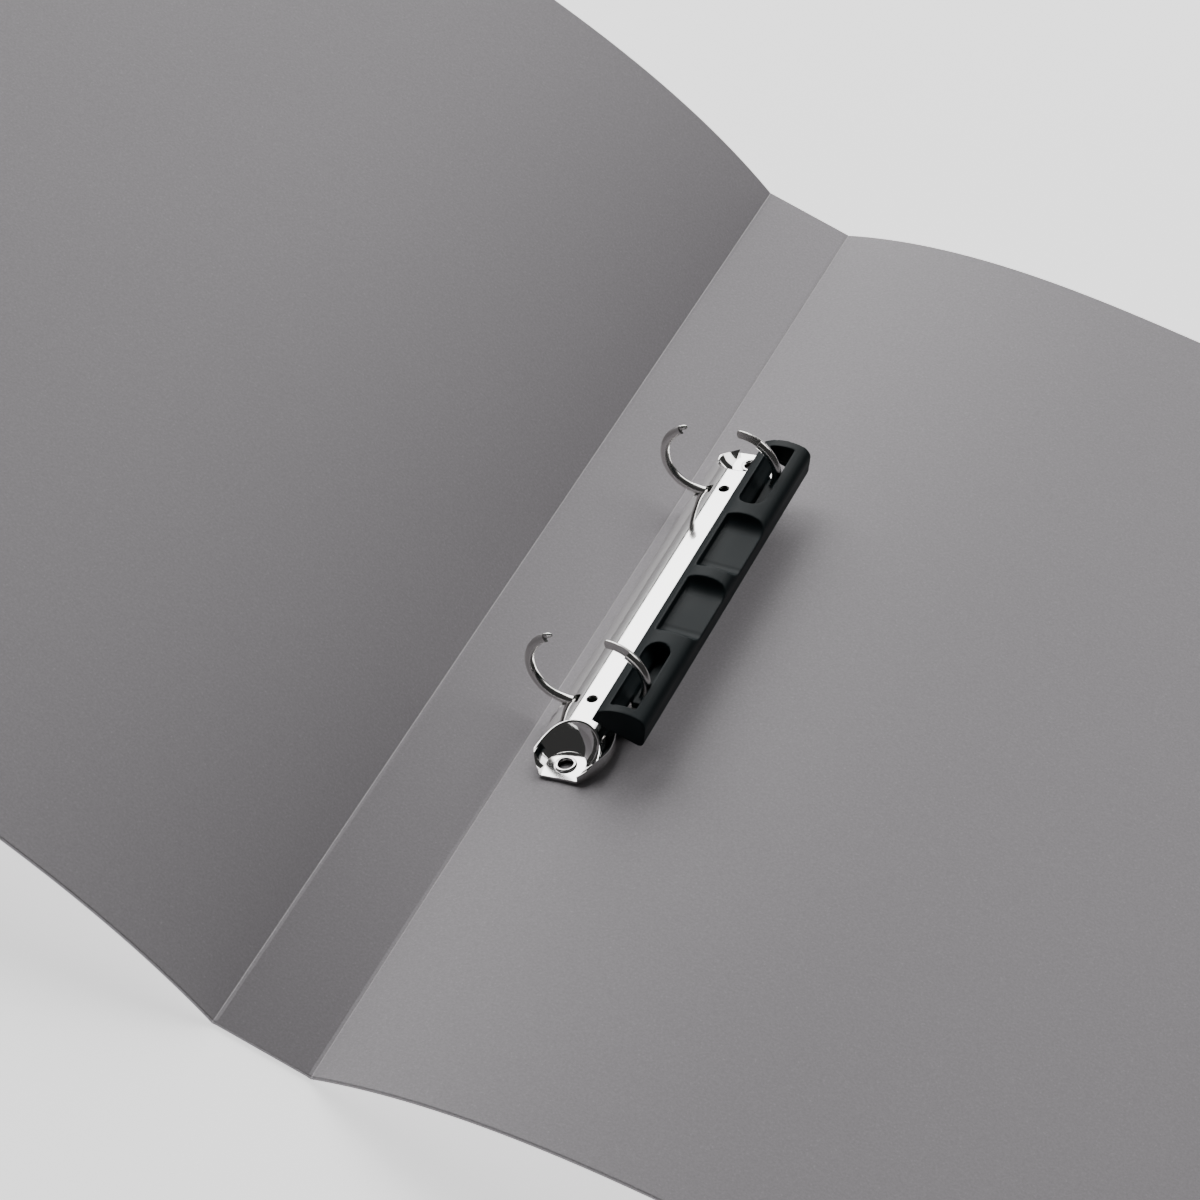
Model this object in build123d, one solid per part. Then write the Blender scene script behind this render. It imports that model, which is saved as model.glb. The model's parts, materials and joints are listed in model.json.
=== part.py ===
"""Two-ring binder: a creased plastic folder with a riveted ring mechanism.

Millimetres, +Z up. The spine lies flat on Z = 0 and is centred on the origin.
The folds run along Y. The front cover is on the -X side, the back cover with
the ring mechanism on the +X side, and the rings stand open.
"""
from build123d import *
from math import cos, degrees, radians, sin
import os

# ---- driving dimensions ------------------------------------------------------
FOLDER_HEIGHT = 318.0        # along the folds
SHEET = 1.0                  # thickness of the plastic sheet
SPINE_WIDTH = 23.8           # from fold to fold
COVER_WIDTH = 238.0          # from a fold to the cover's free edge
CORNER_RADIUS = 6.0          # at the covers' free corners

# each cover leaves its fold steeply and flattens out: start and end slope in
# degrees above level, and the distance from the fold over which it flattens
FRONT_START, FRONT_END, FRONT_BEND = 27.9, 7.1, 114.0
BACK_START, BACK_END, BACK_BEND = 30.6, 6.2, 102.0

WEB = 0.3                    # sheet left at the bottom of a pressed crease
WEB_WIDTH = 0.5              # from the fold line to the end of the thin web
CREASE_WIDTH = 1.0           # from the fold line to full thickness
FOLD_GAP = 0.22              # a cover starts this far from its fold line

MECHANISM_FROM_FOLD = 13.0   # mechanism's centre line, along the back cover
MECHANISM_LEAN = 1.5         # the straight housing sits this much steeper
MECHANISM_GAP = 0.12         # housing feet above the curved sheet's crown

RING_SPACING = 80.0
RING_RADIUS = 9.3            # of the wire's centre line
WIRE_RADIUS = 1.15
RING_OPEN = 4.97             # centre of an open half ring, across from the middle
RING_HEIGHT = 14.1           # and above the cover

HOUSING_LENGTH = 122.4
HOUSING_HALF_WIDTH = 10.4
HOUSING_HEIGHT = 6.4
HOUSING_WALL = 0.8
PRESSED_EDGE = 0.5           # rounding of the bends on the housing's outside
HOUSING_STRAIGHT = 43.0      # half the length of the straight-sided body
HEAD_HALF_WIDTH = 8.6        # the round heads beyond it, around the rivets
HEAD_HALF_LENGTH = 12.5
HEAD_FROM_MIDDLE = 50.5
RIVET_FROM_MIDDLE = 56.7
RIVET_BORE = 1.6
RIVET_TUBE = 2.2
TAB_RADIUS = 4.6

PIVOT_X = 7.5                # hinge edge of each blade under the housing
PIVOT_Z = 1.9
BLADE_WIDTH = 7.4
BLADE_THICKNESS = 0.8
BLADE_HALF_LENGTH = 41.8
BLADE_OPEN = 16.5            # blades slope up to the middle while the rings are open

BAR_HALF_LENGTH = 51.5
BAR_WALL = 1.4
SLOT_NEAR, SLOT_FAR = 26.5, 49.0       # the bar's ring slots, from the middle
SLOT_LEFT, SLOT_RIGHT = 9.3, 15.4
SLOT_FOOT = 11.2                       # where the slot's sloping left wall ends
RECESS_NEAR, RECESS_FAR = 1.6, 22.5    # the bar's thumb recesses, from the middle
RECESS_LEFT = 9.0
RECESS_FLOOR = 12.4                    # along its left wall
RECESS_FALL = 1.6                      # from there to beyond the right edge
RECESS_COVE = 5.0                      # length of the curve at each end

# ---- helpers -----------------------------------------------------------------
FOLD_HEIGHT = WEB / 2
FOLD_X = SPINE_WIDTH / 2
INSIDE = SHEET - FOLD_HEIGHT
STEPS_TO_BEND = 8


def slope(s, start, end, bend):
    """Slope of a cover in radians, s along it from the fold."""
    if s >= bend:
        return radians(end)
    return radians(end + (start - end) * (1 - s / bend) ** 2)


def along(s, start, end, bend, steps=200):
    """Point on a cover's neutral line, s along it from the fold."""
    x = z = 0.0
    ds = s / steps
    for i in range(steps):
        a = slope((i + 0.5) * ds, start, end, bend)
        x += cos(a) * ds
        z += sin(a) * ds
    return x, z


def beside(s, offset, shape):
    """Point at a distance to one side of the neutral line."""
    x, z = along(s, *shape)
    a = slope(s, *shape)
    return x - offset * sin(a), z + offset * cos(a)


def slab(face_in_xz, y0, y1):
    """Extrude a face drawn in the XZ plane from y0 to y1."""
    solid = extrude(Plane.XZ * face_in_xz, amount=-(y1 - y0))
    return Pos(0, y0, 0) * solid


def block(x0, x1, y0, y1, z0, z1):
    """Plain box between two corners."""
    box = Box(x1 - x0, y1 - y0, z1 - z0)
    return Pos((x0 + x1) / 2, (y0 + y1) / 2, (z0 + z1) / 2) * box


def mirrored_x(solid):
    return mirror(solid, about=Plane.YZ)


def ends(solid):
    """A solid at the near end and its mirror image at the far end."""
    return solid + mirror(solid, about=Plane.XZ)


def sector(cx, cz, a0, a1, r0, r1, y0, y1):
    """Ring sector about an axis along Y; angles from +X towards +Z."""
    mid_radius = (r0 + r1) / 2
    profile = Rectangle(r1 - r0, y1 - y0)
    profile = Pos(mid_radius, (y0 + y1) / 2, 0) * profile
    turned = Location((cx, 0, cz), (0, -a0, 0)) * profile
    return revolve(turned, Axis((cx, 0, cz), (0, -1, 0)), revolution_arc=a1 - a0)


def wire_arc(cx, cz, a0, a1):
    """Round wire bent about an axis along Y."""
    profile = Pos(RING_RADIUS, 0, 0) * Circle(WIRE_RADIUS)
    turned = Location((cx, 0, cz), (0, -a0, 0)) * profile
    return revolve(turned, Axis((cx, 0, cz), (0, -1, 0)), revolution_arc=a1 - a0)


# ---- folder sheet ------------------------------------------------------------
def spine_panel():
    half = FOLD_X
    outline = Polyline(
        (-half, 0), (half, 0), (half, WEB), (half - WEB_WIDTH, WEB),
        (half - CREASE_WIDTH, SHEET), (CREASE_WIDTH - half, SHEET),
        (WEB_WIDTH - half, WEB), (-half, WEB), close=True)
    panel = make_face(outline)
    for side in (-1, 1):
        panel += Pos(side * half, FOLD_HEIGHT) * Circle(FOLD_HEIGHT)
    return slab(panel, -FOLDER_HEIGHT / 2, FOLDER_HEIGHT / 2)


def cover(shape):
    """A cover on the +X side whose fold line is the Y axis."""
    bend = shape[2]
    stations = [CREASE_WIDTH + (bend - CREASE_WIDTH) * i / STEPS_TO_BEND
                for i in range(STEPS_TO_BEND + 1)]
    low = [beside(s, -FOLD_HEIGHT, shape) for s in stations]
    high = [beside(s, INSIDE, shape) for s in stations]
    low_start = beside(0.0, -FOLD_HEIGHT, shape)
    web_start = beside(0.0, FOLD_HEIGHT, shape)
    web_end = beside(WEB_WIDTH, FOLD_HEIGHT, shape)
    low_free = beside(COVER_WIDTH, -FOLD_HEIGHT, shape)
    high_free = beside(COVER_WIDTH, INSIDE, shape)
    edges = [
        Line(low_start, low[0]),
        Spline(*low),
        Line(low[-1], low_free),
        Line(low_free, high_free),
        Line(high_free, high[-1]),
        Spline(*high),
        Line(high[0], web_end),
        Line(web_end, web_start),
        Line(web_start, low_start),
    ]
    sheet = slab(make_face(Wire(edges)), -FOLDER_HEIGHT / 2, FOLDER_HEIGHT / 2)
    sheet -= Rot(90, 0, 0) * Cylinder(FOLD_GAP, FOLDER_HEIGHT + 2)
    free_corners = [e for e in sheet.edges().filter_by(GeomType.LINE)
                    if abs(e.length - SHEET) < 0.01 and e.center().X > bend]
    return fillet(free_corners, CORNER_RADIUS)


def front_cover():
    shape = (FRONT_START, FRONT_END, FRONT_BEND)
    return Pos(-FOLD_X, 0, FOLD_HEIGHT) * mirrored_x(cover(shape))


BACK_SHAPE = (BACK_START, BACK_END, BACK_BEND)
MECHANISM_SLOPE = degrees(slope(MECHANISM_FROM_FOLD, *BACK_SHAPE))
MECHANISM_X, MECHANISM_Z = beside(MECHANISM_FROM_FOLD, INSIDE + MECHANISM_GAP, BACK_SHAPE)
MECHANISM = Location((FOLD_X + MECHANISM_X, 0, FOLD_HEIGHT + MECHANISM_Z),
                     (0, -(MECHANISM_SLOPE + MECHANISM_LEAN), 0))


def back_cover():
    sheet = Pos(FOLD_X, 0, FOLD_HEIGHT) * cover(BACK_SHAPE)
    hole = Pos(0, -RIVET_FROM_MIDDLE, 0) * Cylinder(RIVET_TUBE + 0.02, 12)
    return sheet - MECHANISM * ends(hole)


# ---- ring mechanism, drawn in its own frame: X across, Y along, Z off the cover
ARCH_RADIUS = (HOUSING_HALF_WIDTH ** 2 + HOUSING_HEIGHT ** 2) / (2 * HOUSING_HEIGHT)
HALF_HOUSING = HOUSING_LENGTH / 2
FREE_HEIGHT = 30.0


def arch(inset):
    """Arched bar with rounded ends, the outside or the inside of the housing."""
    height = HOUSING_HEIGHT - inset
    section = Pos(0, HOUSING_HEIGHT - ARCH_RADIUS) * Circle(ARCH_RADIUS - inset)
    section &= Pos(0, height / 2) * Rectangle(4 * HOUSING_HALF_WIDTH, height)
    body = slab(section, inset - HALF_HOUSING, HALF_HOUSING - inset)
    half_width = HOUSING_HALF_WIDTH - inset
    plan = RectangleRounded(2 * half_width, 2 * (HOUSING_STRAIGHT - inset), 1.2)
    head = Ellipse(HEAD_HALF_WIDTH - inset, HEAD_HALF_LENGTH - inset)
    plan += Pos(0, HEAD_FROM_MIDDLE) * head
    plan += Pos(0, -HEAD_FROM_MIDDLE) * head
    return body & extrude(plan, amount=FREE_HEIGHT)


def dish(grow):
    """Bowl pressed into the near end of the housing around its rivet."""
    floor = HOUSING_WALL - grow
    bottom = TAB_RADIUS + grow
    middle = TAB_RADIUS + 2.9 + grow
    top = TAB_RADIUS + 4.3 + grow
    wall = ThreePointArc((bottom, floor), (middle, 3.4), (top, 6.6))
    edges = [
        Line((0, floor), (bottom, floor)),
        wall,
        Line((top, 6.6), (top, FREE_HEIGHT)),
        Line((top, FREE_HEIGHT), (0, FREE_HEIGHT)),
        Line((0, FREE_HEIGHT), (0, floor)),
    ]
    bowl = revolve(Plane.XZ * make_face(Wire(edges)), Axis.Z)
    way_out = block(-bottom, bottom, -12, 0, floor, FREE_HEIGHT)
    return Pos(0, -RIVET_FROM_MIDDLE, 0) * (bowl + way_out)


def housing():
    shell = arch(0.0) - ends(dish(0.0))
    bends = [e for e in shell.edges()
             if e.bounding_box().max.Z > 2.9 and e.length < FREE_HEIGHT
             and abs(e.center().Y) < RIVET_FROM_MIDDLE]
    shell = fillet(bends, PRESSED_EDGE)
    shell -= arch(HOUSING_WALL) - ends(dish(HOUSING_WALL))
    lip_outer = HOUSING_HALF_WIDTH - 0.9
    lip_inner = PIVOT_X + 0.2
    for side in (-1, 1):
        x0, x1 = sorted((side * lip_inner, side * lip_outer))
        shell += block(x0, x1, -BLADE_HALF_LENGTH, BLADE_HALF_LENGTH, 0, 0.7)
    notch_half = WIRE_RADIUS + 0.3
    for y in (-RING_SPACING / 2, RING_SPACING / 2):
        for side in (-1, 1):
            x0, x1 = sorted((side * 3.2, side * 7.9))
            shell -= block(x0, x1, y - notch_half, y + notch_half, 1.2, 9)
    crest_hole = Pos(0, -RING_SPACING / 2, HOUSING_HEIGHT) * Cylinder(1.35, 4)
    rivet_hole = Pos(0, -RIVET_FROM_MIDDLE, 0) * Cylinder(RIVET_TUBE + 0.02, 6)
    return shell - ends(crest_hole) - ends(rivet_hole)


def blade_place(side):
    """Frame on a blade: origin on its hinge edge, X towards the middle."""
    if side < 0:
        return Location((-PIVOT_X, 0, PIVOT_Z), (0, -BLADE_OPEN, 0))
    return Location((PIVOT_X, 0, PIVOT_Z), (0, BLADE_OPEN, 0)) * Rot(0, 0, 180)


FOOT_ALONG_BLADE = 3.0
FOOT_RADIUS = 0.9
FOOT_HEIGHT = 2.0
STAKE_RADIUS = 1.3
STAKE_THICKNESS = 0.35


def blade(side):
    plate = block(0, BLADE_WIDTH, -BLADE_HALF_LENGTH, BLADE_HALF_LENGTH,
                  -BLADE_THICKNESS / 2, BLADE_THICKNESS / 2)
    edge = Rot(90, 0, 0) * Cylinder(BLADE_THICKNESS / 2, 2 * BLADE_HALF_LENGTH)
    hole = Pos(FOOT_ALONG_BLADE, -RING_SPACING / 2, 0) * Cylinder(FOOT_RADIUS, 4)
    return blade_place(side) * (plate + edge - ends(hole))


def ring_foot(side, y):
    """Peg through the blade with a staked head underneath."""
    low = -BLADE_THICKNESS / 2
    along_y = -y if side > 0 else y
    peg = Cylinder(FOOT_RADIUS, FOOT_HEIGHT - low)
    peg = Pos(0, 0, (FOOT_HEIGHT + low) / 2) * peg
    stake = Pos(0, 0, low - STAKE_THICKNESS / 2) * Cylinder(STAKE_RADIUS, STAKE_THICKNESS)
    return blade_place(side) * (Pos(FOOT_ALONG_BLADE, along_y, 0) * (peg + stake))


# the half rings lock side by side: the left one keeps its near half at the tip,
# the right one its far half; angles in degrees about the open half ring's centre
LEFT_FOOT, LEFT_TIP, LEFT_PRONG, LEFT_RELIEF = 272.0, 116.7, 104.5, 141.0
RIGHT_FOOT, RIGHT_SHOULDER, RIGHT_TIP = -92.0, 53.0, 88.6
TIP_CLEARANCE = 0.05


def ring_left(y):
    cx, cz = -RING_OPEN, RING_HEIGHT
    inner, outer = RING_RADIUS - 2, RING_RADIUS + 2
    half = wire_arc(cx, cz, LEFT_TIP, LEFT_FOOT)
    half -= sector(cx, cz, LEFT_TIP - 5, LEFT_RELIEF, inner, outer, -TIP_CLEARANCE, 2)
    prong = wire_arc(cx, cz, LEFT_PRONG, LEFT_TIP + 0.5)
    prong &= sector(cx, cz, LEFT_PRONG - 5, LEFT_TIP + 0.5,
                    RING_RADIUS, outer, -2, -TIP_CLEARANCE)
    return Pos(0, y, 0) * (half + prong) + ring_foot(-1, y)


def ring_right(y):
    cx, cz = RING_OPEN, RING_HEIGHT
    inner, outer = RING_RADIUS - 2, RING_RADIUS + 2
    half = wire_arc(cx, cz, RIGHT_FOOT, RIGHT_TIP)
    half -= sector(cx, cz, RIGHT_SHOULDER, RIGHT_TIP + 5, inner, outer, -2, TIP_CLEARANCE)
    return Pos(0, y, 0) * half + ring_foot(1, y)


def bar_section(inset):
    """Cross-section of the grip bar: raised left rail, crowned top, right skirt."""
    edges = [
        Line((5.3, 10.8), (6.9, 13.5)),
        ThreePointArc((6.9, 13.5), (12.4, 14.6), (17.0, 13.4)),
        ThreePointArc((17.0, 13.4), (18.1, 12.2), (18.3, 10.6)),
        Line((18.3, 10.6), (17.4, 6.6)),
        ThreePointArc((17.4, 6.6), (16.9, 5.8), (15.9, 5.6)),
        Line((15.9, 5.6), (5.3, 10.8)),
    ]
    section = make_face(Wire(edges))
    if inset:
        section = offset(section, amount=-inset)
    return section


def recess_profile(x, floor, grow):
    """Outline of a thumb recess across X: a floor with a cove at each end."""
    y0, y1 = -RECESS_FAR - grow, grow - RECESS_NEAR
    low = floor - grow
    edges = [
        Line((y0, 22), (y0, floor + 3)),
        ThreePointArc((y0, floor + 3), (y0 + 1.5, low + 0.8), (y0 + RECESS_COVE, low)),
        Line((y0 + RECESS_COVE, low), (y1 - RECESS_COVE, low)),
        ThreePointArc((y1 - RECESS_COVE, low), (y1 - 1.5, low + 0.8), (y1, floor + 3)),
        Line((y1, floor + 3), (y1, 22)),
        Line((y1, 22), (y0, 22)),
    ]
    return Plane(origin=(x, 0, 0), x_dir=(0, 1, 0), z_dir=(1, 0, 0)) * make_face(Wire(edges))


def recess(grow):
    """Thumb recess on the near half, falling away to the right."""
    left = recess_profile(RECESS_LEFT - grow, RECESS_FLOOR, grow)
    right = recess_profile(22, RECESS_FLOOR - RECESS_FALL, grow)
    return loft([left, right], ruled=True)


def bar_slot(grow):
    """Ring slot on the near half: rounded inner end, and a sloping left wall."""
    radius = (SLOT_RIGHT - SLOT_LEFT) / 2 + grow
    middle = (SLOT_LEFT + SLOT_RIGHT) / 2
    near, far = -SLOT_FAR - grow, -SLOT_NEAR - 3.05
    opening = block(middle - radius, middle + radius, near, far, 0, 22)
    opening += Pos(middle, far, 11) * Cylinder(radius, 22)
    wall = Polyline((4, 13.6 - grow), (SLOT_LEFT - grow, 13.6 - grow),
                    (SLOT_FOOT - grow, 10.9 - grow), (SLOT_FOOT - grow, -1), (4, -1),
                    close=True)
    return opening - slab(make_face(wall), near - 1, far + 6)


def grip_bar():
    whole = slab(bar_section(0), -BAR_HALF_LENGTH, BAR_HALF_LENGTH)
    inner = slab(bar_section(BAR_WALL), BAR_WALL - BAR_HALF_LENGTH,
                 BAR_HALF_LENGTH - BAR_WALL)
    underneath = make_face(Polyline((7.8, 10.4), (15.2, 6.7), (14.2, 3.4),
                                    (6.0, 6.5), close=True))
    inner += slab(underneath, BAR_WALL - BAR_HALF_LENGTH, BAR_HALF_LENGTH - BAR_WALL)
    body = whole - ends(recess(0)) - ends(bar_slot(0))
    body -= inner - ends(recess(BAR_WALL)) - ends(bar_slot(1.2))
    slot_floor = block(11.0, SLOT_RIGHT + 0.3, -RING_SPACING / 2 - 2.6, 0.5 - SLOT_NEAR,
                       8.2, 9.8)
    body += ends(slot_floor)
    for y in (-RING_SPACING / 2, RING_SPACING / 2):
        body -= Pos(0, y, 0) * wire_arc(RING_OPEN, RING_HEIGHT, RIGHT_FOOT, 50)
    return body


def rivet(y):
    """Tubular rivet: rolled rim on the tab, wide head outside the cover."""
    top = HOUSING_WALL
    under = -SHEET - MECHANISM_GAP - 0.25
    tube_length = top + 0.5 - under
    tube = Pos(0, 0, (top + 0.5 + under) / 2) * Cylinder(RIVET_TUBE, tube_length)
    rim = Pos(0, 0, top + 0.25) * Cylinder(RIVET_TUBE + 0.35, 0.5)
    head = Pos(0, 0, under - 0.25) * Cylinder(4.0, 0.5)
    rim = fillet(rim.edges().group_by(Axis.Z)[-1], 0.3)
    head = fillet(head.edges().group_by(Axis.Z)[0], 0.3)
    body = tube + rim + head - Cylinder(RIVET_BORE, 20)
    return Pos(0, y, 0) * body


def on_cover(solid):
    return MECHANISM * solid


HALF_SPACING = RING_SPACING / 2
PARTS = {
    "spine_panel": spine_panel(),
    "front_cover": front_cover(),
    "back_cover": back_cover(),
    "ring_housing": on_cover(housing()),
    "rivet_front": on_cover(rivet(-RIVET_FROM_MIDDLE)),
    "rivet_rear": on_cover(rivet(RIVET_FROM_MIDDLE)),
    "blade_left": on_cover(blade(-1)),
    "blade_right": on_cover(blade(1)),
    "ring_left_front": on_cover(ring_left(-HALF_SPACING)),
    "ring_left_rear": on_cover(ring_left(HALF_SPACING)),
    "ring_right_front": on_cover(ring_right(-HALF_SPACING)),
    "ring_right_rear": on_cover(ring_right(HALF_SPACING)),
    "grip_bar": on_cover(grip_bar()),
}

os.makedirs("parts", exist_ok=True)
for name, solid in PARTS.items():
    export_step(solid, f"parts/{name}.step")
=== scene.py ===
"""Open two-ring binder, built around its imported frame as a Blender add-on layout."""
import json
from math import atan2, cos, hypot, pi, radians, sin, sqrt

import bmesh
import bpy
from mathutils import Matrix, Vector


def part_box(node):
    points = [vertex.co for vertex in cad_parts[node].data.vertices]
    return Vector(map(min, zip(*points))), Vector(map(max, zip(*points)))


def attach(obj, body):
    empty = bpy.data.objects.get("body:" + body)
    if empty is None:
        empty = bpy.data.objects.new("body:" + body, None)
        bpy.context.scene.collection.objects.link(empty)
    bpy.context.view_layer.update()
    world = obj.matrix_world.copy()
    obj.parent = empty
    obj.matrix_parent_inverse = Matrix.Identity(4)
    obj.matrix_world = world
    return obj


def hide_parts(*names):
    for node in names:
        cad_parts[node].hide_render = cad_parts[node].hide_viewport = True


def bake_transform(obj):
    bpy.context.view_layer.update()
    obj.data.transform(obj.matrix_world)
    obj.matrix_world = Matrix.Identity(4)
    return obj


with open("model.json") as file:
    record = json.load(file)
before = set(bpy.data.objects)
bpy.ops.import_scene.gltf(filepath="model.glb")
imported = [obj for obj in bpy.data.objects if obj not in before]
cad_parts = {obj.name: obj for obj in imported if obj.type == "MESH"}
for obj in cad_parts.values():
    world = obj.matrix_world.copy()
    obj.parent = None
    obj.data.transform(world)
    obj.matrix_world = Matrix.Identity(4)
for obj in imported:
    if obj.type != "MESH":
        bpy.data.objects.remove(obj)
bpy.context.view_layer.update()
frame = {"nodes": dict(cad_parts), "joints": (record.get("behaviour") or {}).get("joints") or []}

bl_info = {
    "name": "Ring binder",
    "version": (1, 0, 0),
    "blender": (4, 5, 0),
    "location": "3D View > Sidebar > Binder",
    "description": "Builds an open two-ring binder piece by piece",
    "category": "Object",
}

MM = 0.001

# ---- the frame's own places ---------------------------------------------------
JOINTS = {joint["name"]: joint for joint in frame["joints"]}
SPINE_LOW, SPINE_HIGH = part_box("spine_panel")
SHEET = (SPINE_HIGH.z - SPINE_LOW.z) / MM
FOLDER_HALF = SPINE_HIGH.y / MM
FOLD_X = JOINTS["back_fold"]["pos_m"][0] / MM
FOLD_Z = JOINTS["back_fold"]["pos_m"][2] / MM
INSIDE = SHEET - FOLD_Z

# the covers' bend: slope at the fold and at its end in degrees, and its length
FRONT_SHAPE = (27.9, 7.1, 114.0)
BACK_SHAPE = (30.6, 6.2, 102.0)
COVER_WIDTH = 238.0
CORNER_RADIUS = 6.0
EDGE_ROUND = 0.3         # rounding along the sheet's top and bottom edges
FREE_EDGE = 0.35         # width of the thinned strip along a cover's free edge
FREE_EDGE_TAPER = 0.3    # taken off each face there
FOLD_GAP = 0.3           # from the fold line to where a cover's mesh begins
WEB = 0.3                # thickness left at the bottom of a pressed crease
WEB_HALF = 0.5           # half the width of that web
RAMP_FOOT = 0.7          # where a cover begins to rise out of its crease
RAMP_TOP = 1.0           # where it has its full thickness
RAMP_STEP = 0.5          # how far its face has risen at the ramp's foot

# the mechanism's frame: X across, Y along, Z off the cover, in millimetres
PIVOT_Z = 1.9
LEFT_PIVOT = Vector(JOINTS["left_jaw_swing"]["pos_m"])
RIGHT_PIVOT = Vector(JOINTS["right_jaw_swing"]["pos_m"])
ACROSS = (RIGHT_PIVOT - LEFT_PIVOT).normalized()
ALONG = Vector((0, 1, 0))
OFF_COVER = ACROSS.cross(ALONG)
PIVOT_X = (RIGHT_PIVOT - LEFT_PIVOT).length / MM / 2
MECHANISM = Matrix.Translation((LEFT_PIVOT + RIGHT_PIVOT) / 2 - OFF_COVER * PIVOT_Z * MM) @ \
    Matrix((ACROSS, ALONG, OFF_COVER)).transposed().to_4x4() @ Matrix.Scale(MM, 4)

RING_RADIUS = 9.3
RING_OPEN = 4.97
RING_HEIGHT = 14.1
RING_Y = 40.0
WIRE_RADIUS = 1.15

HOUSING_WALL = 0.8
RIVET_Y = 56.7
RIVET_TUBE = 2.2
RIVET_BORE = 1.6
RIVET_RIM = 0.5
RIVET_HEAD = 4.0
RIVET_HEAD_ROUND = 0.25
UNDER_SHEET = 0.35       # from the sheet's outside, past the gap, to the rivet's head


# ---- settings that a user would change -----------------------------------------
class BinderFolderSettings(bpy.types.PropertyGroup):
    """Plastic folder."""
    colour: bpy.props.FloatVectorProperty(
        name="Sheet colour", description="Colour of the plastic sheet",
        subtype="COLOR", size=3, min=0, max=1, default=(0.278, 0.262, 0.277))
    grain: bpy.props.FloatProperty(
        name="Grain", description="Size of the sand grain pressed into the sheet",
        default=0.25 * MM, min=0.0001, max=0.002, unit="LENGTH")
    roughness: bpy.props.FloatProperty(
        name="Roughness", description="Dullness of the sheet",
        default=0.52, min=0, max=1, subtype="FACTOR")


class BinderMetalSettings(bpy.types.PropertyGroup):
    """Plated metal of the mechanism."""
    plate: bpy.props.FloatVectorProperty(
        name="Plate colour", description="Colour of the bright plating",
        subtype="COLOR", size=3, min=0, max=1, default=(0.93, 0.92, 0.91))
    wire: bpy.props.FloatVectorProperty(
        name="Wire colour", description="Colour of the plated ring wire",
        subtype="COLOR", size=3, min=0, max=1, default=(0.74, 0.73, 0.71))


class BinderBarSettings(bpy.types.PropertyGroup):
    """Moulded grip bar."""
    colour: bpy.props.FloatVectorProperty(
        name="Moulding colour", description="Colour of the black moulding",
        subtype="COLOR", size=3, min=0, max=1, default=(0.006, 0.0105, 0.012))
    rounding: bpy.props.IntProperty(
        name="Edge rounding", description="How soft the moulded edges are",
        default=5, min=1, max=20)


class BinderStageSettings(bpy.types.PropertyGroup):
    """Floor, lamps and camera."""
    floor: bpy.props.FloatVectorProperty(
        name="Floor colour", description="Colour of the table",
        subtype="COLOR", size=3, min=0, max=1, default=(0.92, 0.92, 0.92))
    lamp: bpy.props.FloatProperty(
        name="Lamp power", description="Power of the main soft lamp in watts",
        default=52.0, min=0, max=200)


# ---- mesh helpers ----------------------------------------------------------------
def new_piece(name, verts, faces, material, body, slot, place=None, smooth=35):
    """A mesh object in the row frame that rides on a body."""
    mesh = bpy.data.meshes.new(name)
    mesh.from_pydata([tuple(v) for v in verts], [], faces)
    mesh.transform(place if place is not None else Matrix.Identity(4))
    mesh.update()
    piece = bpy.data.objects.new(name, mesh)
    bpy.context.scene.collection.objects.link(piece)
    tidy_mesh(mesh)
    shade(mesh, smooth)
    mesh.materials.append(material)
    if body:
        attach(piece, body)
    return piece


def cover_node(name, made):
    """Put a material on a node of the frame that stays as it is."""
    node = frame["nodes"][name]
    node.data.materials.clear()
    node.data.materials.append(made)


def tidy_mesh(mesh):
    """Weld doubled points and turn all faces outwards."""
    work = bmesh.new()
    work.from_mesh(mesh)
    bmesh.ops.remove_doubles(work, verts=work.verts, dist=0.5e-6)
    bmesh.ops.dissolve_degenerate(work, edges=work.edges, dist=0.2e-6)
    bmesh.ops.recalc_face_normals(work, faces=work.faces)
    work.to_mesh(mesh)
    work.free()


def shade(mesh, angle):
    """Smooth shading with edges sharper than the angle kept crisp."""
    work = bmesh.new()
    work.from_mesh(mesh)
    for face in work.faces:
        face.smooth = True
    for edge in work.edges:
        turn = edge.calc_face_angle(pi) if len(edge.link_faces) == 2 else pi
        edge.smooth = turn < radians(angle)
    work.to_mesh(mesh)
    work.free()


def skin(rows):
    """Solid through closed rows of equally many points, capped at both ends."""
    count = len(rows[0])
    verts = [v for row in rows for v in row]
    faces = []
    for i in range(len(rows) - 1):
        near, far = i * count, (i + 1) * count
        for j in range(count):
            k = (j + 1) % count
            faces.append((near + j, near + k, far + k, far + j))
    faces.append(tuple(range(count)))
    faces.append(tuple((len(rows) - 1) * count + j for j in reversed(range(count))))
    return verts, faces


def prism(outline, y0, y1):
    """Solid with an XZ outline, from y0 to y1."""
    return skin([[(x, y0, z) for x, z in outline], [(x, y1, z) for x, z in outline]])


def lathe(profile, steps=64):
    """Solid of revolution about Z from (radius, z) points, closed into a loop."""
    verts, faces = [], []
    count = len(profile)
    for i in range(steps):
        a = 2 * pi * i / steps
        verts += [(r * cos(a), r * sin(a), z) for r, z in profile]
    for i in range(steps):
        n = (i + 1) % steps
        for j in range(count):
            k = (j + 1) % count
            faces.append((i * count + j, n * count + j, n * count + k, i * count + k))
    return verts, faces


def scratch(verts, faces):
    """Helper object for a cut; removed again by cut()."""
    mesh = bpy.data.meshes.new("cutter")
    mesh.from_pydata([tuple(v) for v in verts], [], faces)
    tidy_mesh(mesh)
    tool = bpy.data.objects.new("cutter", mesh)
    bpy.context.scene.collection.objects.link(tool)
    return tool


def apply_modifiers(piece):
    """Replace a piece's mesh by what its modifiers make."""
    bpy.context.view_layer.update()
    graph = bpy.context.evaluated_depsgraph_get()
    mesh = bpy.data.meshes.new_from_object(piece.evaluated_get(graph))
    piece.modifiers.clear()
    piece.data = mesh


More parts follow.
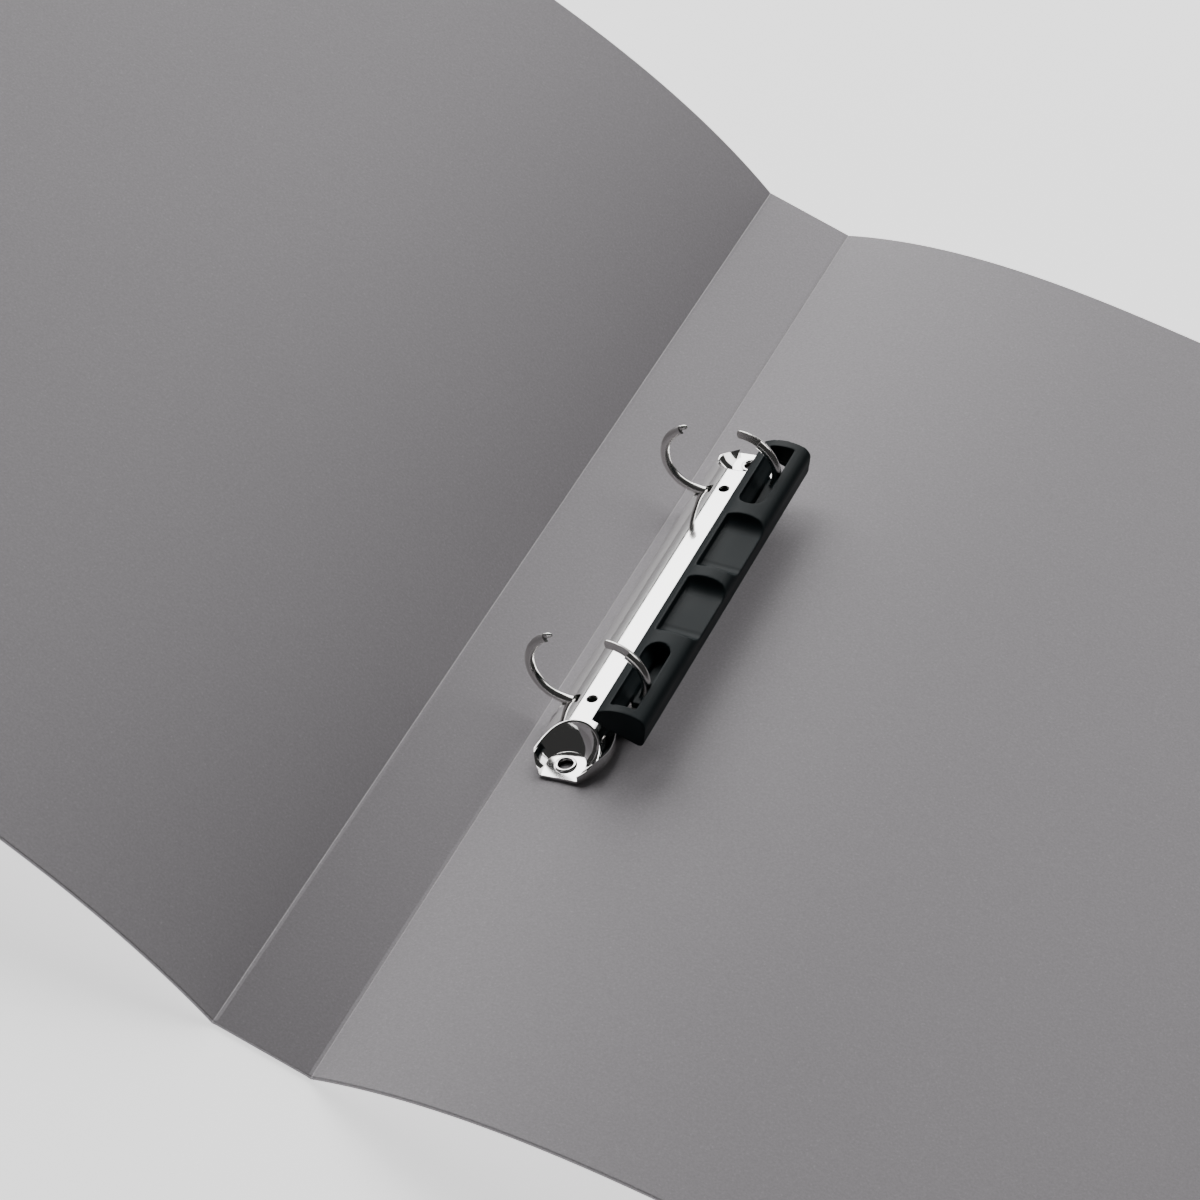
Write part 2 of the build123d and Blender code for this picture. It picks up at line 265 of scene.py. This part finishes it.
def cut(piece, cutters, operation="DIFFERENCE"):
    """Boolean of a piece with (verts, faces) cutters."""
    for verts, faces in cutters:
        tool = scratch(verts, faces)
        step = piece.modifiers.new("cut", "BOOLEAN")
        step.operation = operation
        step.solver = "EXACT"
        step.object = tool
        apply_modifiers(piece)
        bpy.data.objects.remove(tool)
    tidy_mesh(piece.data)


def box_mesh(x0, x1, y0, y1, z0, z1):
    """Solid box between the given limits."""
    return prism([(x0, z0), (x1, z0), (x1, z1), (x0, z1)], y0, y1)


def moved(mesh, place):
    """A (verts, faces) mesh with its points carried by a matrix."""
    verts, faces = mesh
    return [place @ Vector(v) for v in verts], faces


def joined(*meshes):
    """Several (verts, faces) meshes as one."""
    verts, faces = [], []
    for v, f in meshes:
        base = len(verts)
        verts += [tuple(p) for p in v]
        faces += [tuple(i + base for i in face) for face in f]
    return verts, faces


# ---- materials -------------------------------------------------------------------
def material(name):
    """New node material, its tree and its Principled shader."""
    made = bpy.data.materials.new(name)
    made.use_nodes = True
    tree = made.node_tree
    shader = tree.nodes["Principled BSDF"]
    return made, tree, shader


def place_node(tree):
    """Object coordinates, so that a pattern keeps its real size."""
    return tree.nodes.new("ShaderNodeTexCoord").outputs["Object"]


def noise(tree, where, scale, detail, rough):
    """Noise factor from 0 to 1; scale is in features per metre."""
    node = tree.nodes.new("ShaderNodeTexNoise")
    node.inputs["Scale"].default_value = scale
    node.inputs["Detail"].default_value = detail
    node.inputs["Roughness"].default_value = rough
    tree.links.new(where, node.inputs["Vector"])
    return node.outputs["Fac"]


def ramp(tree, value, stops):
    """Colour ramp through (position, colour) stops."""
    node = tree.nodes.new("ShaderNodeValToRGB")
    marks = node.color_ramp.elements
    while len(marks) < len(stops):
        marks.new(0.5)
    for mark, (position, colour) in zip(marks, stops):
        mark.position = position
        mark.color = (*colour, 1)
    tree.links.new(value, node.inputs["Fac"])
    return node.outputs["Color"]


def grey(value):
    """Neutral colour of a given lightness."""
    return (value, value, value)


def bump(tree, shader, height, strength, distance):
    """Relief on a shader from a height factor."""
    node = tree.nodes.new("ShaderNodeBump")
    node.inputs["Strength"].default_value = strength
    node.inputs["Distance"].default_value = distance
    tree.links.new(height, node.inputs["Height"])
    tree.links.new(node.outputs["Normal"], shader.inputs["Normal"])


def tinted(tree, colour, factor, low, high):
    """Colour made lighter and darker by a 0 to 1 factor."""
    dark = tuple(c * low for c in colour)
    light = tuple(min(1, c * high) for c in colour)
    return ramp(tree, factor, [(0.25, dark), (0.75, light)])


def sheet_material(name, settings, lightness):
    """Matt polypropylene with a fine sand grain; a lightness above 1 makes the creases' groove
    lighter, as stretched plastic and a painted highlight.
    """
    made, tree, shader = material(name)
    where = place_node(tree)
    grain = noise(tree, where, 1 / settings.grain, detail=2.0, rough=0.6)
    speckle = noise(tree, where, 0.45 / settings.grain, detail=4.0, rough=0.7)
    clouds = noise(tree, where, 9.0, detail=2.0, rough=0.5)
    colour = tinted(tree, settings.colour, clouds, 0.98 * lightness, 1.02 * lightness)
    fleck = ramp(tree, speckle, [(0.35, grey(0.92)), (0.5, grey(1.0)), (0.64, grey(1.08)),
                                 (0.74, grey(1.35))])
    mix = tree.nodes.new("ShaderNodeMix")
    mix.data_type = "RGBA"
    mix.blend_type = "MULTIPLY"
    mix.inputs["Factor"].default_value = 1.0
    tree.links.new(colour, mix.inputs["A"])
    tree.links.new(fleck, mix.inputs["B"])
    tree.links.new(mix.outputs["Result"], shader.inputs["Base Color"])
    rough = ramp(tree, speckle, [(0.3, grey(settings.roughness + 0.08)),
                                 (0.7, grey(settings.roughness - 0.08))])
    tree.links.new(rough, shader.inputs["Roughness"])
    shader.inputs["Specular IOR Level"].default_value = 0.3
    bump(tree, shader, grain, strength=0.35, distance=0.05 * MM)
    return made


def plate_material(name, colour, roughness, wear):
    """Bright nickel plate with faint handling marks, duller by up to the wear."""
    made, tree, shader = material(name)
    where = place_node(tree)
    smudge = noise(tree, where, 160.0, detail=3.0, rough=0.55)
    pits = noise(tree, where, 2600.0, detail=2.0, rough=0.6)
    tree.links.new(tinted(tree, colour, smudge, 0.97, 1.02), shader.inputs["Base Color"])
    shader.inputs["Metallic"].default_value = 1.0
    rough = ramp(tree, smudge, [(0.35, grey(roughness)), (0.7, grey(roughness + wear))])
    tree.links.new(rough, shader.inputs["Roughness"])
    bump(tree, shader, pits, strength=0.02, distance=0.01 * MM)
    return made


def blade_material():
    """Plain rolled spring steel with long rolling marks."""
    made, tree, shader = material("rolled_blade_steel")
    where = place_node(tree)
    stretch = tree.nodes.new("ShaderNodeMapping")
    stretch.inputs["Scale"].default_value = (1.0, 0.03, 1.0)
    tree.links.new(where, stretch.inputs["Vector"])
    lines = noise(tree, stretch.outputs["Vector"], 4000.0, detail=3.0, rough=0.6)
    tree.links.new(tinted(tree, (0.52, 0.52, 0.51), lines, 0.85, 1.1),
                   shader.inputs["Base Color"])
    shader.inputs["Metallic"].default_value = 1.0
    rough = ramp(tree, lines, [(0.3, grey(0.28)), (0.7, grey(0.42))])
    tree.links.new(rough, shader.inputs["Roughness"])
    bump(tree, shader, lines, strength=0.15, distance=0.01 * MM)
    return made


def moulding_material(settings):
    """Satin black moulding with a fine spark-eroded texture."""
    made, tree, shader = material("black_moulding")
    where = place_node(tree)
    texture = noise(tree, where, 5200.0, detail=2.0, rough=0.6)
    flow = noise(tree, where, 90.0, detail=2.0, rough=0.5)
    tree.links.new(tinted(tree, settings.colour, flow, 0.85, 1.2), shader.inputs["Base Color"])
    rough = ramp(tree, flow, [(0.3, grey(0.44)), (0.7, grey(0.52))])
    tree.links.new(rough, shader.inputs["Roughness"])
    shader.inputs["Specular IOR Level"].default_value = 0.12
    bump(tree, shader, texture, strength=0.12, distance=0.02 * MM)
    return made


def floor_material(colour):
    """Pale matt table top, lit a little from within so that it stays near white."""
    made, tree, shader = material("pale_table")
    where = place_node(tree)
    fine = noise(tree, where, 60.0, detail=2.0, rough=0.5)
    tree.links.new(tinted(tree, colour, fine, 0.995, 1.005), shader.inputs["Base Color"])
    shader.inputs["Roughness"].default_value = 0.8
    shader.inputs["Emission Color"].default_value = (1, 1, 1, 1)
    shader.inputs["Emission Strength"].default_value = 1.2
    return made


# ---- folder ----------------------------------------------------------------------
def slope(s, shape):
    """A cover's slope in radians at a distance from its fold."""
    start, end, bend = shape
    if s >= bend:
        return radians(end)
    return radians(end + (start - end) * (1 - s / bend) ** 2)


def stations(shape):
    """Distances from the fold, close together in the bend and at the corner."""
    bend = shape[2]
    bend_steps, flat_steps, corner_steps = 40, 6, 12
    marks = [FOLD_GAP, RAMP_FOOT, RAMP_TOP]
    marks += [RAMP_TOP + (bend - RAMP_TOP) * i / bend_steps for i in range(1, bend_steps + 1)]
    straight = COVER_WIDTH - CORNER_RADIUS
    marks += [bend + (straight - bend) * i / flat_steps for i in range(1, flat_steps + 1)]
    for i in range(1, corner_steps + 1):
        a = pi / 2 * i / corner_steps
        marks.append(straight + CORNER_RADIUS * sin(a))
    return marks


def walk(marks, shape):
    """Neutral-line points and slopes at distances from the fold."""
    points = []
    x = z = s = 0.0
    for mark in marks:
        while s < mark - 1e-9:
            step = min(0.25, mark - s)
            a = slope(s + step / 2, shape)
            x += cos(a) * step
            z += sin(a) * step
            s += step
        points.append((x, z, slope(mark, shape)))
    return points


def half_height(s):
    """Half the cover's height at a distance from the fold, rounded at the corner."""
    into = s - (COVER_WIDTH - CORNER_RADIUS)
    if into <= 0:
        return FOLDER_HALF
    return FOLDER_HALF - CORNER_RADIUS + sqrt(max(0.0, CORNER_RADIUS ** 2 - into ** 2))


def sheet_loop(low, high, half):
    """Cross-section of the sheet along Y, as (y, height) with rounded edges."""
    r = min(EDGE_ROUND, (high - low) / 2 - 0.001)
    loop = []
    for sign in (1, -1):
        corners = ((high - r, 0.0, pi / 2), (low + r, -pi / 2, 0.0))
        order = corners if sign > 0 else corners[::-1]
        for middle, a0, a1 in order:
            arc = [a1, (a0 + a1) / 2, a0]
            if sign < 0:
                arc = arc[::-1]
            for a in arc:
                loop.append((sign * (half - r + r * cos(a)), middle + r * sin(a)))
    return loop


def cover_mesh(shape, side):
    """One cover, with its pressed crease at the fold and rounded free corners."""
    marks = stations(shape)
    rows = []
    for mark, (x, z, a) in zip(marks, walk(marks, shape)):
        high = INSIDE
        if mark < RAMP_FOOT:
            high = FOLD_Z
        elif mark < RAMP_TOP:
            high = FOLD_Z + RAMP_STEP
        taper = FREE_EDGE_TAPER if mark > COVER_WIDTH - FREE_EDGE else 0.0
        row = []
        for y, h in sheet_loop(-FOLD_Z + taper, high - taper, half_height(mark)):
            row.append((side * (FOLD_X + x - h * sin(a)), y, FOLD_Z + z + h * cos(a)))
        rows.append(row)
    return skin(rows)


def spine_mesh():
    """Spine panel between its two pressed creases."""
    edge = FOLD_X
    profile = [(-edge, WEB), (-edge + WEB_HALF, WEB), (-edge + RAMP_TOP, SHEET),
               (edge - RAMP_TOP, SHEET), (edge - WEB_HALF, WEB), (edge, WEB)]
    rows = []
    for x, top in profile:
        rows.append([(x, y, h) for y, h in sheet_loop(0.0, top, FOLDER_HALF)])
    return skin(rows)


CREASE_HALF = 1.1        # half the width of the strip over a fold
CREASE_TUCK = 0.04       # how far its edges dip under the panels' faces
CREASE_INSET = 0.02      # how far it stops short of the sheet's ends
CREASE_LIFT = 0.005      # how far its underside stays off the panels' undersides
GROOVE_HALF = 0.36
GROOVE_DEPTH = 0.03
GROOVE_LIGHTNESS = 1.8   # of the groove's faces against the sheet: stretched plastic, partly a painted highlight along the fold line
GROOVE_MIDDLE = 0.2      # from the fold line to the middle of the lighter faces
GROOVE_REACH = 0.16      # how far from there a face's centre may be


def crease_mesh(side, shape):
    """The pressed living hinge: a strip over the fold with a fine groove along its middle."""
    rows = []
    section = ((-CREASE_HALF, CREASE_TUCK), (-RAMP_TOP, 0.0), (-GROOVE_HALF, 0.0),
               (0.0, GROOVE_DEPTH), (GROOVE_HALF, 0.0), (RAMP_TOP, 0.0),
               (CREASE_HALF, CREASE_TUCK))
    start = radians(shape[0])
    for s, depth in section:
        turn = start if s > 0 else 0.0
        lean = turn if s else start / 2
        x = FOLD_X + s * cos(turn)
        z = FOLD_Z + s * sin(turn)
        row = []
        for y, h in sheet_loop(-FOLD_Z + CREASE_LIFT, INSIDE - depth,
                               FOLDER_HALF - CREASE_INSET):
            row.append((side * (x - h * sin(lean)), y, z + h * cos(lean)))
        rows.append(row)
    return skin(rows)


class BINDER_OT_folder(bpy.types.Operator):
    """Make the plastic folder: spine, two covers and their creases"""
    bl_idname = "binder.folder"
    bl_label = "Folder"

    def execute(self, context):
        settings = context.scene.binder_folder
        sheet = sheet_material("grained_sheet", settings, 1.0)
        # lighter sheet for the groove: stretched plastic, partly a painted highlight along the
        # fold line
        groove = sheet_material("crease_whitening_and_highlight", settings, GROOVE_LIGHTNESS)
        metres = Matrix.Scale(MM, 4)
        spine = new_piece("spine_sheet", *moved(spine_mesh(), metres),
                          sheet, "spine", "cover_sheet")
        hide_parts("spine_panel")
        sides = ((-1, "front_cover", FRONT_SHAPE), (1, "back_cover", BACK_SHAPE))
        for side, body, shape in sides:
            panel = new_piece(body + "_sheet", *moved(cover_mesh(shape, side), metres),
                              sheet, body, "cover_sheet", smooth=20)
            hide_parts(body)
            crease = new_piece(body + "_crease", *moved(crease_mesh(side, shape), metres),
                               sheet, None, "cover_sheet", smooth=10)
            crease.data.materials.append(groove)
            # faces along the groove's middle get the lighter sheet, partly a painted highlight on
            # the fold line
            middle = side * (FOLD_X - GROOVE_MIDDLE) * MM
            for face in crease.data.polygons:
                away = abs(face.center.x - middle)
                if away < GROOVE_REACH * MM and face.center.z > FOLD_Z * MM:
                    face.material_index = 1
            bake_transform(crease)
        return {"FINISHED"}


# ---- ring housing ----------------------------------------------------------------
class BINDER_OT_housing(bpy.types.Operator):
    """Give the pressed ring housing its bright plating"""
    bl_idname = "binder.housing"
    bl_label = "Ring housing"

    def execute(self, context):
        colour = context.scene.binder_metal.plate
        plate = plate_material("bright_nickel_plate", colour, roughness=0.05, wear=0.06)
        cover_node("ring_housing", plate)
        return {"FINISHED"}


# ---- half rings --------------------------------------------------------------------
# places along a half ring, as angles in degrees about the ring's middle
LEFT_FOOT, LEFT_TIP, LEFT_PRONG, LEFT_RELIEF = 272.0, 116.7, 104.5, 141.0
RIGHT_FOOT, RIGHT_SHOULDER, RIGHT_TIP = -92.0, 53.0, 88.6
RIGHT_DOME = 3.0         # length of the right tip's rounded end, in the same degrees
WHOLE = 9.0              # a y limit that leaves the wire whole
TIP_CLEARANCE = 0.05     # from the ring's middle plane to each tip's flat side
PRONG_RISE = 0.4         # how far the prong lies outside the wire's centre line
PRONG_END = 0.3          # size of the prong's end against the wire
BLADE_OPEN = 16.5        # lean of a blade when the rings are open, in degrees
FOOT_FROM_PIVOT = 3.0    # from a blade's pivot to the rings' feet


def wire_rows(marks, centre_x):
    """Rows around a bent wire; each mark is (angle, near y limit, far y limit, size, rise)."""
    around = 36
    rows = []
    for angle, low, high, size, rise in marks:
        a = radians(angle)
        row = []
        for i in range(around):
            t = 2 * pi * i / around
            out = WIRE_RADIUS * size * cos(t) + rise
            y = min(high, max(low, WIRE_RADIUS * size * sin(t)))
            r = RING_RADIUS + out
            row.append((centre_x + r * cos(a), y, RING_HEIGHT + r * sin(a)))
        rows.append(row)
    return rows


def spread(a0, a1, step, low=-WHOLE, high=WHOLE):
    """Evenly spaced marks of full wire between two angles."""
    count = max(1, round(abs(a1 - a0) / step))
    return [(a0 + (a1 - a0) * i / count, low, high, 1.0, 0.0) for i in range(count + 1)]


def rounded_tip(angle, length, low, high):
    """Marks that close a wire's end with a soft dome."""
    steps = 5
    marks = []
    for i in range(1, steps + 1):
        t = pi / 2 * i / steps
        marks.append((angle + length * sin(t), low, high, max(0.05, cos(t)), 0.0))
    return marks


def left_marks():
    """Left half ring from its foot up: whole wire, halved wire, then a thin prong."""
    flat = -TIP_CLEARANCE
    marks = spread(LEFT_FOOT, LEFT_RELIEF, 3.0)
    marks += spread(LEFT_RELIEF, LEFT_TIP, 3.0, high=flat)
    marks += [(LEFT_TIP - 12.2 * t, -WHOLE, flat, 0.62 - 0.1 * t, PRONG_RISE)
              for t in (0, 0.3, 0.7)]
    return marks + [(LEFT_PRONG, -WHOLE, flat, PRONG_END, PRONG_RISE)]


def right_marks():
    """Right half ring from its foot up: whole wire, then halved wire with a rounded tip."""
    dome = RIGHT_TIP - RIGHT_DOME
    marks = spread(RIGHT_FOOT, RIGHT_SHOULDER, 3.0)
    marks += spread(RIGHT_SHOULDER, dome, 3.0, low=TIP_CLEARANCE)
    return marks + rounded_tip(dome, RIGHT_DOME, TIP_CLEARANCE, WHOLE)


def ring_foot_mesh(side):
    """Peg through the blade with its staked head."""
    lean = radians(BLADE_OPEN)
    turn = Matrix.Rotation(-lean if side < 0 else lean, 4, "Y")
    start = Matrix.Translation((side * PIVOT_X, 0, PIVOT_Z)) @ turn
    profile = [(0.0, 2.0), (0.9, 2.0), (0.9, -0.4), (1.3, -0.4), (1.3, -0.65),
               (1.15, -0.75), (0.0, -0.75)]
    verts, faces = lathe(profile, 32)
    return moved((verts, faces), start @ Matrix.Translation((-side * FOOT_FROM_PIVOT, 0, 0)))


class BINDER_OT_rings(bpy.types.Operator):
    """Make the four half rings with their interlocking tips and staked feet"""
    bl_idname = "binder.rings"
    bl_label = "Half rings"

    def execute(self, context):
        colour = context.scene.binder_metal.wire
        wire = plate_material("plated_ring_wire", colour, roughness=0.17, wear=0.10)
        halves = ((-1, "left", left_marks()), (1, "right", right_marks()))
        for side, word, marks in halves:
            rows = wire_rows(marks, side * RING_OPEN)
            for y, end in ((-RING_Y, "front"), (RING_Y, "rear")):
                parts = joined(skin(rows), ring_foot_mesh(side))
                place = MECHANISM @ Matrix.Translation((0, y, 0))
                ring = new_piece(f"half_ring_{word}_{end}", *parts, wire,
                                 word + "_jaw", "ring_wire", place)
                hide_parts(f"ring_{word}_{end}")
        return {"FINISHED"}


# ---- grip bar ----------------------------------------------------------------------
BAR_HALF_LENGTH = 51.5
BAR_END_WALL = 1.4       # moulding left at each end of the hollow underside
ABOVE_BAR = 20.0         # a height that clears the bar's crown
SLOT_NEAR, SLOT_FAR = 26.5, 49.0
SLOT_LEFT, SLOT_RIGHT = 9.3, 15.4
SLOT_FOOT = 11.2         # where the slot's sloping left wall ends
FLOOR_LEFT, FLOOR_LOW, FLOOR_HIGH = 10.9, 8.2, 9.8    # block that closes a slot below
RECESS_NEAR, RECESS_FAR = 1.6, 22.5
RECESS_LEFT, RECESS_RIGHT = 9.0, 22.0
RECESS_FLOOR = 12.4      # the floor's height at its left
RECESS_FALL = 1.6        # how much lower it is at its right
RECESS_COVE = 5.0        # length of the curve at each end of the floor
MOULDING_GRID = 0.22     # spacing of the moulding's even mesh


def arc_points(a, b, c, steps):
    """Points on the arc from a through b to c."""
    ax, ay, bx, by, cx, cy = *a, *b, *c
    d = 2 * (ax * (by - cy) + bx * (cy - ay) + cx * (ay - by))
    ux = ((ax * ax + ay * ay) * (by - cy) + (bx * bx + by * by) * (cy - ay)
          + (cx * cx + cy * cy) * (ay - by)) / d
    uy = ((ax * ax + ay * ay) * (cx - bx) + (bx * bx + by * by) * (ax - cx)
          + (cx * cx + cy * cy) * (bx - ax)) / d
    r = hypot(ax - ux, ay - uy)
    start = atan2(ay - uy, ax - ux)
    turn = (atan2(cy - uy, cx - ux) - start + pi) % (2 * pi) - pi
    return [(ux + r * cos(start + turn * i / steps), uy + r * sin(start + turn * i / steps))
            for i in range(steps + 1)]


def bar_outline():
    """Outside of the bar's section: left rail, crown, shoulder and right skirt."""
    outline = [(5.3, 10.8)]
    outline += arc_points((6.9, 13.5), (12.4, 14.6), (17.0, 13.4), 14)
    outline += arc_points((17.0, 13.4), (18.1, 12.2), (18.3, 10.6), 6)[1:]
    outline += arc_points((17.4, 6.6), (16.9, 5.8), (15.9, 5.6), 4)
    return outline


def slot_mesh(side):
    """Ring slot: rounded inner end, and a left wall that slopes to its foot."""
    steps = 24
    radius = (SLOT_RIGHT - SLOT_LEFT) / 2
    middle = (SLOT_LEFT + SLOT_RIGHT) / 2
    centre = SLOT_NEAR + radius
    plan = [(SLOT_LEFT, SLOT_FAR)]
    plan += [(middle - radius * cos(pi * i / steps), centre - radius * sin(pi * i / steps))
             for i in range(steps + 1)]
    plan += [(SLOT_RIGHT, SLOT_FAR)]
    rows = []
    for foot, z in ((1, 2.0), (1, 10.9), (0.5, 12.1), (0, 13.6), (0, ABOVE_BAR)):
        left = SLOT_LEFT + foot * (SLOT_FOOT - SLOT_LEFT)
        squeeze = (SLOT_RIGHT - left) / (SLOT_RIGHT - SLOT_LEFT)
        rows.append([(SLOT_RIGHT - (SLOT_RIGHT - x) * squeeze, side * y, z) for x, y in plan])
    return skin(rows)


def recess_mesh(side):
    """Thumb recess: a floor with a cove at each end, falling away to the right."""
    near, far = RECESS_NEAR, RECESS_FAR
    rows = []
    for x, floor in ((RECESS_LEFT, RECESS_FLOOR), (RECESS_RIGHT, RECESS_FLOOR - RECESS_FALL)):
        line = [(far, ABOVE_BAR)]
        line += arc_points((far, floor + 3), (far - 1.5, floor + 0.8),
                           (far - RECESS_COVE, floor), 10)
        line += arc_points((near + RECESS_COVE, floor), (near + 1.5, floor + 0.8),
                           (near, floor + 3), 10)
        line += [(near, ABOVE_BAR)]
        rows.append([(x, side * y, z) for y, z in line])
    return skin(rows)


class BINDER_OT_grip_bar(bpy.types.Operator):
    """Make the black grip bar with its ring slots and thumb recesses"""
    bl_idname = "binder.grip_bar"
    bl_label = "Grip bar"

    def execute(self, context):
        settings = context.scene.binder_bar
        black = moulding_material(settings)
        verts, faces = prism(bar_outline(), -BAR_HALF_LENGTH, BAR_HALF_LENGTH)
        bar = new_piece("grip_bar_moulding", verts, faces, black, None, "black_moulding")
        tools = [slot_mesh(-1), slot_mesh(1), recess_mesh(-1), recess_mesh(1)]
        hollow = [(8.2, 10.4), (16.3, 9.2), (15.8, 7.6), (15.0, 4.0), (6.5, 8.0)]
        tools.append(prism(hollow, BAR_END_WALL - BAR_HALF_LENGTH,
                           BAR_HALF_LENGTH - BAR_END_WALL))
        cut(bar, tools)
        floors = []
        for side in (-1, 1):
            y0, y1 = sorted((side * (RING_Y + 2.6), side * (SLOT_NEAR - 0.5)))
            floors.append(box_mesh(FLOOR_LEFT, SLOT_RIGHT + 0.3, y0, y1, FLOOR_LOW, FLOOR_HIGH))
        cut(bar, floors, "UNION")
        even = bar.modifiers.new("even", "REMESH")
        even.mode = "VOXEL"
        even.voxel_size = MOULDING_GRID
        soft = bar.modifiers.new("edges", "SMOOTH")
        soft.factor = 0.5
        soft.iterations = settings.rounding
        apply_modifiers(bar)
        bar.data.transform(MECHANISM)
        tidy_mesh(bar.data)
        shade(bar.data, 60)
        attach(bar, "right_jaw")
        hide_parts("grip_bar")
        return {"FINISHED"}


# ---- rivets and blades ---------------------------------------------------------------
class BINDER_OT_rivets(bpy.types.Operator):
    """Make the two tubular rivets with a rolled rim and an outside head"""
    bl_idname = "binder.rivets"
    bl_label = "Rivets"

    def execute(self, context):
        colour = context.scene.binder_metal.plate
        plate = plate_material("rivet_plate", colour, roughness=0.10, wear=0.08)
        # dark bore wall: painted shade inside the rivet's hole
        inside = plate_material("bore_painted_shade", (0.05, 0.045, 0.04), roughness=0.45, wear=0.1)
        rim = [(RIVET_BORE + RIVET_RIM * (1 + cos(a)), HOUSING_WALL + RIVET_RIM * (0.1 + sin(a)))
               for a in [pi * (1 - i / 10) for i in range(11)]]
        under = -SHEET - UNDER_SHEET
        head = [(RIVET_HEAD - RIVET_HEAD_ROUND * (1 - sin(a)),
                 under - RIVET_HEAD_ROUND - RIVET_HEAD_ROUND * cos(a))
                for a in [pi / 2 * (1 - i / 5) for i in range(6)]]
        profile = [(RIVET_BORE, under - 2 * RIVET_HEAD_ROUND)] + rim
        profile += [(RIVET_TUBE, HOUSING_WALL), (RIVET_TUBE, under), (RIVET_HEAD, under)] + head
        for y, word in ((-RIVET_Y, "front"), (RIVET_Y, "rear")):
            place = MECHANISM @ Matrix.Translation((0, y, 0))
            rivet = new_piece(f"tubular_rivet_{word}", *lathe(profile, 72), plate,
                              "back_cover", "bright_plate", place)
            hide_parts(f"rivet_{word}")
            rivet.data.materials.append(inside)
            axis = place.to_3x3() @ Vector((0, 0, 1 / MM))
            # faces of the bore get the dark painted shade
            for face in rivet.data.polygons:
                out = face.center - place.translation
                depth = out.dot(axis)
                radius = (out - axis * depth).length
                if radius < (RIVET_BORE + 0.05) * MM and depth < HOUSING_WALL * MM:
                    face.material_index = 1
        return {"FINISHED"}


class BINDER_OT_blades(bpy.types.Operator):
    """Give the two sprung blades under the housing their rolled steel"""
    bl_idname = "binder.blades"
    bl_label = "Blades"

    def execute(self, context):
        steel = blade_material()
        cover_node("blade_left", steel)
        cover_node("blade_right", steel)
        return {"FINISHED"}


# ---- stage -----------------------------------------------------------------------------
CAMERA_PLACE = Vector((0.0695, -0.6210, 0.6489))
CAMERA_LOOK = Vector((-0.06782, 0.68995, -0.72067))
CAMERA_UP = Vector((-0.48418, 0.60881, 0.62843))
CAMERA_LENS = 115.4
TABLE_HALF = 3.0


def add_lamp(name, place, aim, size, power):
    """Soft rectangular lamp at a place, turned to the aim."""
    data = bpy.data.lights.new(name, "AREA")
    data.shape = "RECTANGLE"
    data.size, data.size_y = size
    data.energy = power
    lamp = bpy.data.objects.new(name, data)
    lamp.location = place
    lamp.rotation_euler = (Vector(aim) - Vector(place)).to_track_quat("-Z", "Y").to_euler()
    bpy.context.scene.collection.objects.link(lamp)


class BINDER_OT_stage(bpy.types.Operator):
    """Set up the table, soft lamps and camera"""
    bl_idname = "binder.stage"
    bl_label = "Stage"

    def execute(self, context):
        settings = context.scene.binder_stage
        size = TABLE_HALF
        table = bpy.data.meshes.new("table")
        table.from_pydata([(-size, -size, 0), (size, -size, 0), (size, size, 0), (-size, size, 0)],
                          [], [(0, 1, 2, 3)])
        table.materials.append(floor_material(settings.floor))
        floor = bpy.data.objects.new("table", table)
        context.scene.collection.objects.link(floor)

        world = bpy.data.worlds.new("studio")
        world.use_nodes = True
        background = world.node_tree.nodes["Background"]
        background.inputs["Color"].default_value = (0.9, 0.9, 0.9, 1)
        background.inputs["Strength"].default_value = 0.04
        context.scene.world = world

        middle = (0.02, 0, 0.01)
        add_lamp("back_left", (-1.15, 1.2, 0.90), middle, (2.4, 1.40), settings.lamp)
        add_lamp("high_back", (0.4, 1.5, 1.6), middle, (2.0, 1.2), settings.lamp * 0.4)

        data = bpy.data.cameras.new("camera")
        data.lens = CAMERA_LENS
        data.sensor_width = 36.0
        data.clip_start = 0.01
        camera = bpy.data.objects.new("camera", data)
        right = CAMERA_LOOK.cross(CAMERA_UP).normalized()
        up = right.cross(CAMERA_LOOK).normalized()
        turn = Matrix((right, up, -CAMERA_LOOK.normalized())).transposed().to_4x4()
        camera.matrix_world = Matrix.Translation(CAMERA_PLACE) @ turn
        context.scene.collection.objects.link(camera)
        context.scene.camera = camera
        return {"FINISHED"}


# ---- panel and registration ---------------------------------------------------------------
OPERATORS = (BINDER_OT_folder, BINDER_OT_housing, BINDER_OT_rings, BINDER_OT_grip_bar,
             BINDER_OT_rivets, BINDER_OT_blades, BINDER_OT_stage)
SETTINGS = (("binder_folder", BinderFolderSettings), ("binder_metal", BinderMetalSettings),
            ("binder_bar", BinderBarSettings), ("binder_stage", BinderStageSettings))


class BINDER_PT_panel(bpy.types.Panel):
    """Lists the binder's pieces and settings"""
    bl_idname = "BINDER_PT_panel"
    bl_label = "Ring binder"
    bl_space_type = "VIEW_3D"
    bl_region_type = "UI"
    bl_category = "Binder"

    def draw(self, context):
        for name, group in SETTINGS:
            box = self.layout.box()
            values = getattr(context.scene, name)
            for key in group.__annotations__:
                box.prop(values, key)
        for operator in OPERATORS:
            self.layout.operator(operator.bl_idname)


def register():
    """Add the settings, operators and panel to Blender."""
    for name, group in SETTINGS:
        bpy.utils.register_class(group)
        setattr(bpy.types.Scene, name, bpy.props.PointerProperty(type=group))
    for item in OPERATORS + (BINDER_PT_panel,):
        bpy.utils.register_class(item)


def unregister():
    """Take them out again."""
    for item in reversed(OPERATORS + (BINDER_PT_panel,)):
        bpy.utils.unregister_class(item)
    for name, group in reversed(SETTINGS):
        delattr(bpy.types.Scene, name)
        bpy.utils.unregister_class(group)


def main():
    """Build every piece through its operator."""
    register()
    for operator in OPERATORS:
        group, action = operator.bl_idname.split(".")
        getattr(getattr(bpy.ops, group), action)()


if __name__ == "__main__":
    main()
